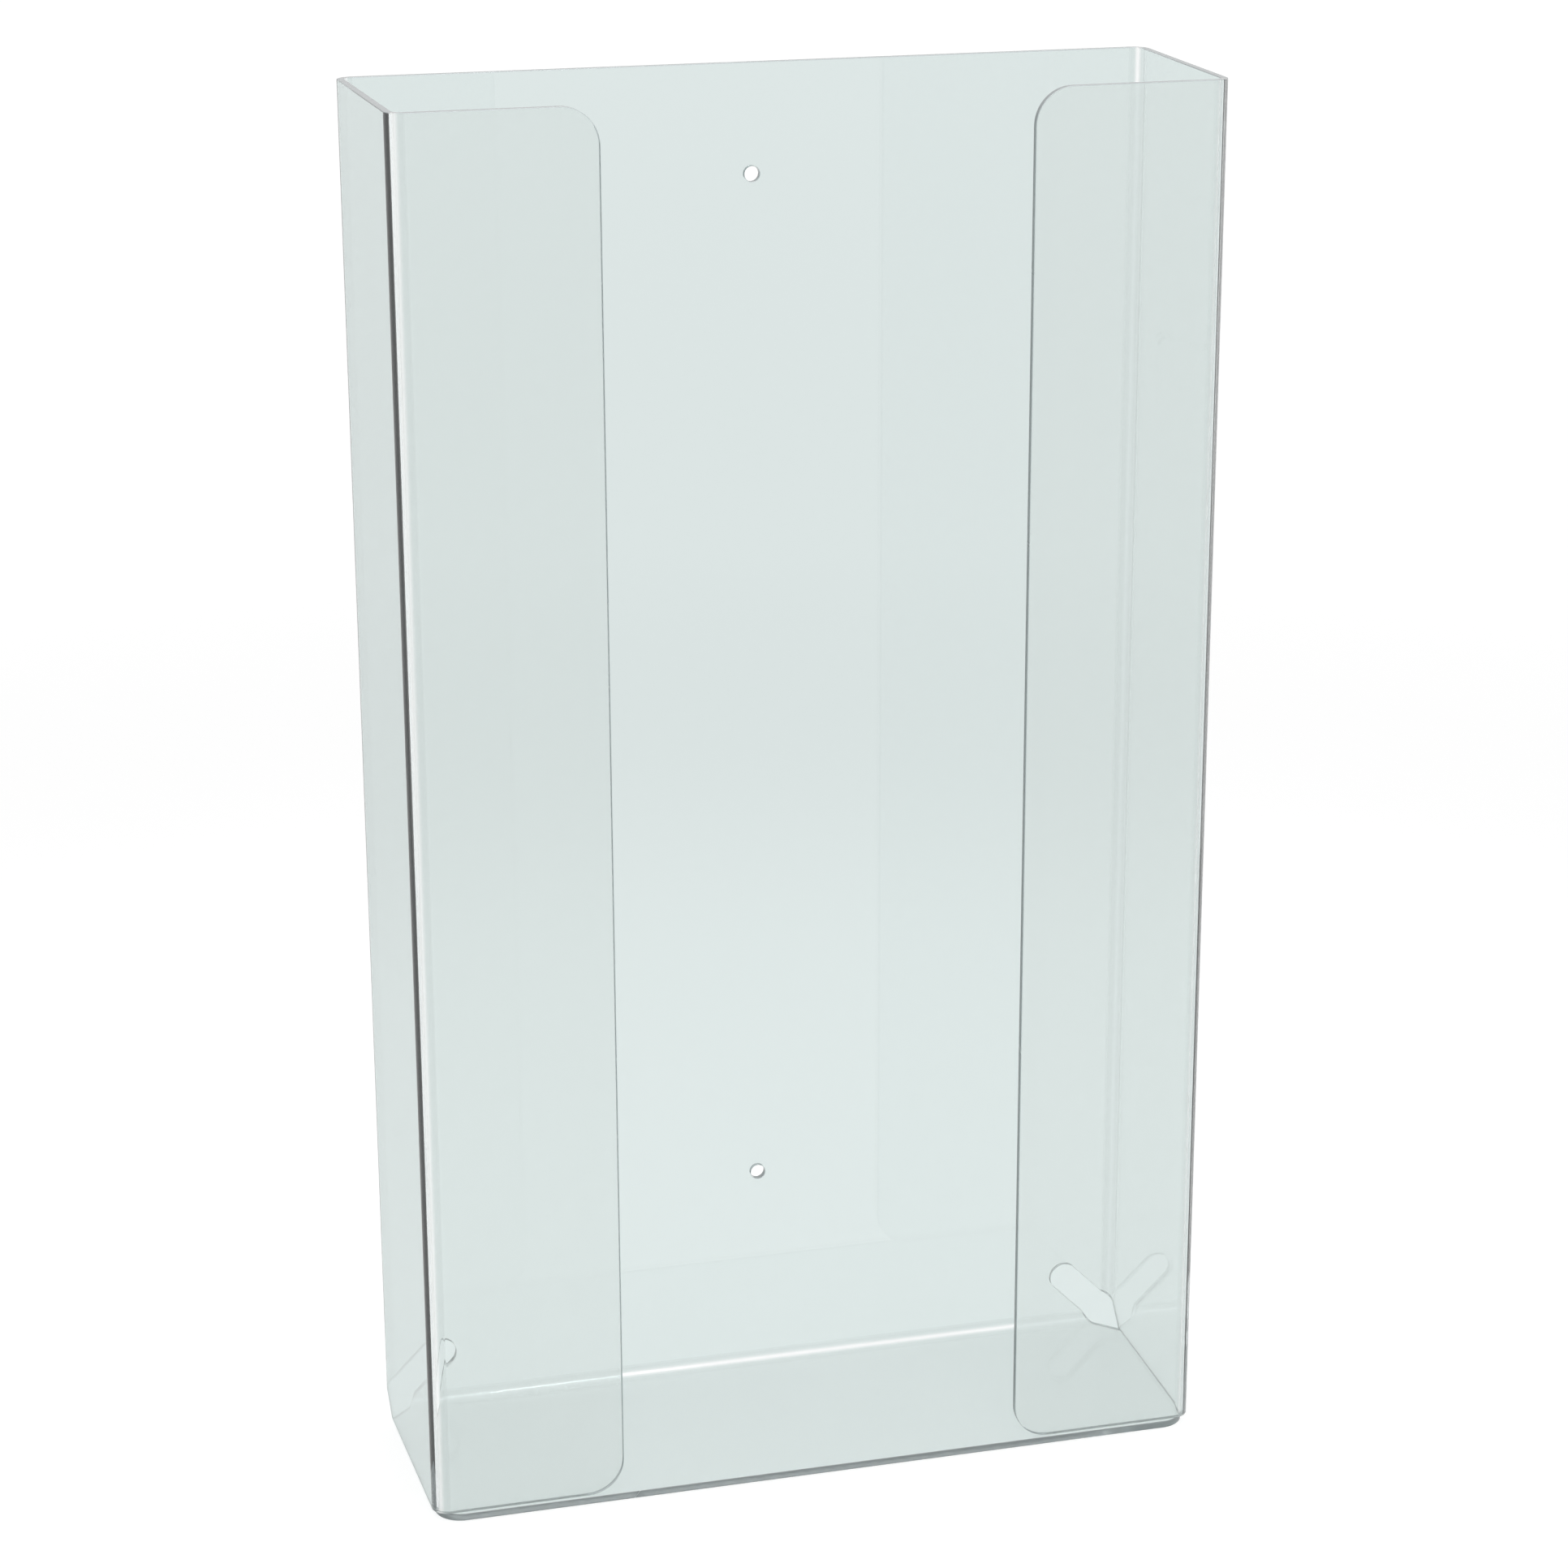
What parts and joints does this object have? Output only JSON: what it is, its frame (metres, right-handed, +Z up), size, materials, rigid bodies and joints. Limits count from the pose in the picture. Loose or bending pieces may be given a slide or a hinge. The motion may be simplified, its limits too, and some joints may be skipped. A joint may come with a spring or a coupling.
{
  "type": "disposable glove dispenser",
  "caption": "Clear wall-mounted holder for a stack of glove boxes, folded from one plastic sheet, with an open top and an open strip down the front.",
  "frame": {"origin": "middle of the underside of the floor's bounding box, on the plane that the holder stands on", "axes": "+Z up the back panel, -Y out of the open front, +Y towards the wall, +X to the right as seen from the front"},
  "size_m": [0.2664, 0.0858, 0.4572],
  "materials": {
    "clear_sheet": "clear acrylic sheet with a faint grey-green tint, glossy faces and satin saw-cut edges"
  },
  "bodies": {
    "root": {"folded_sheet": "clear_sheet"}
  },
  "joints": []
}
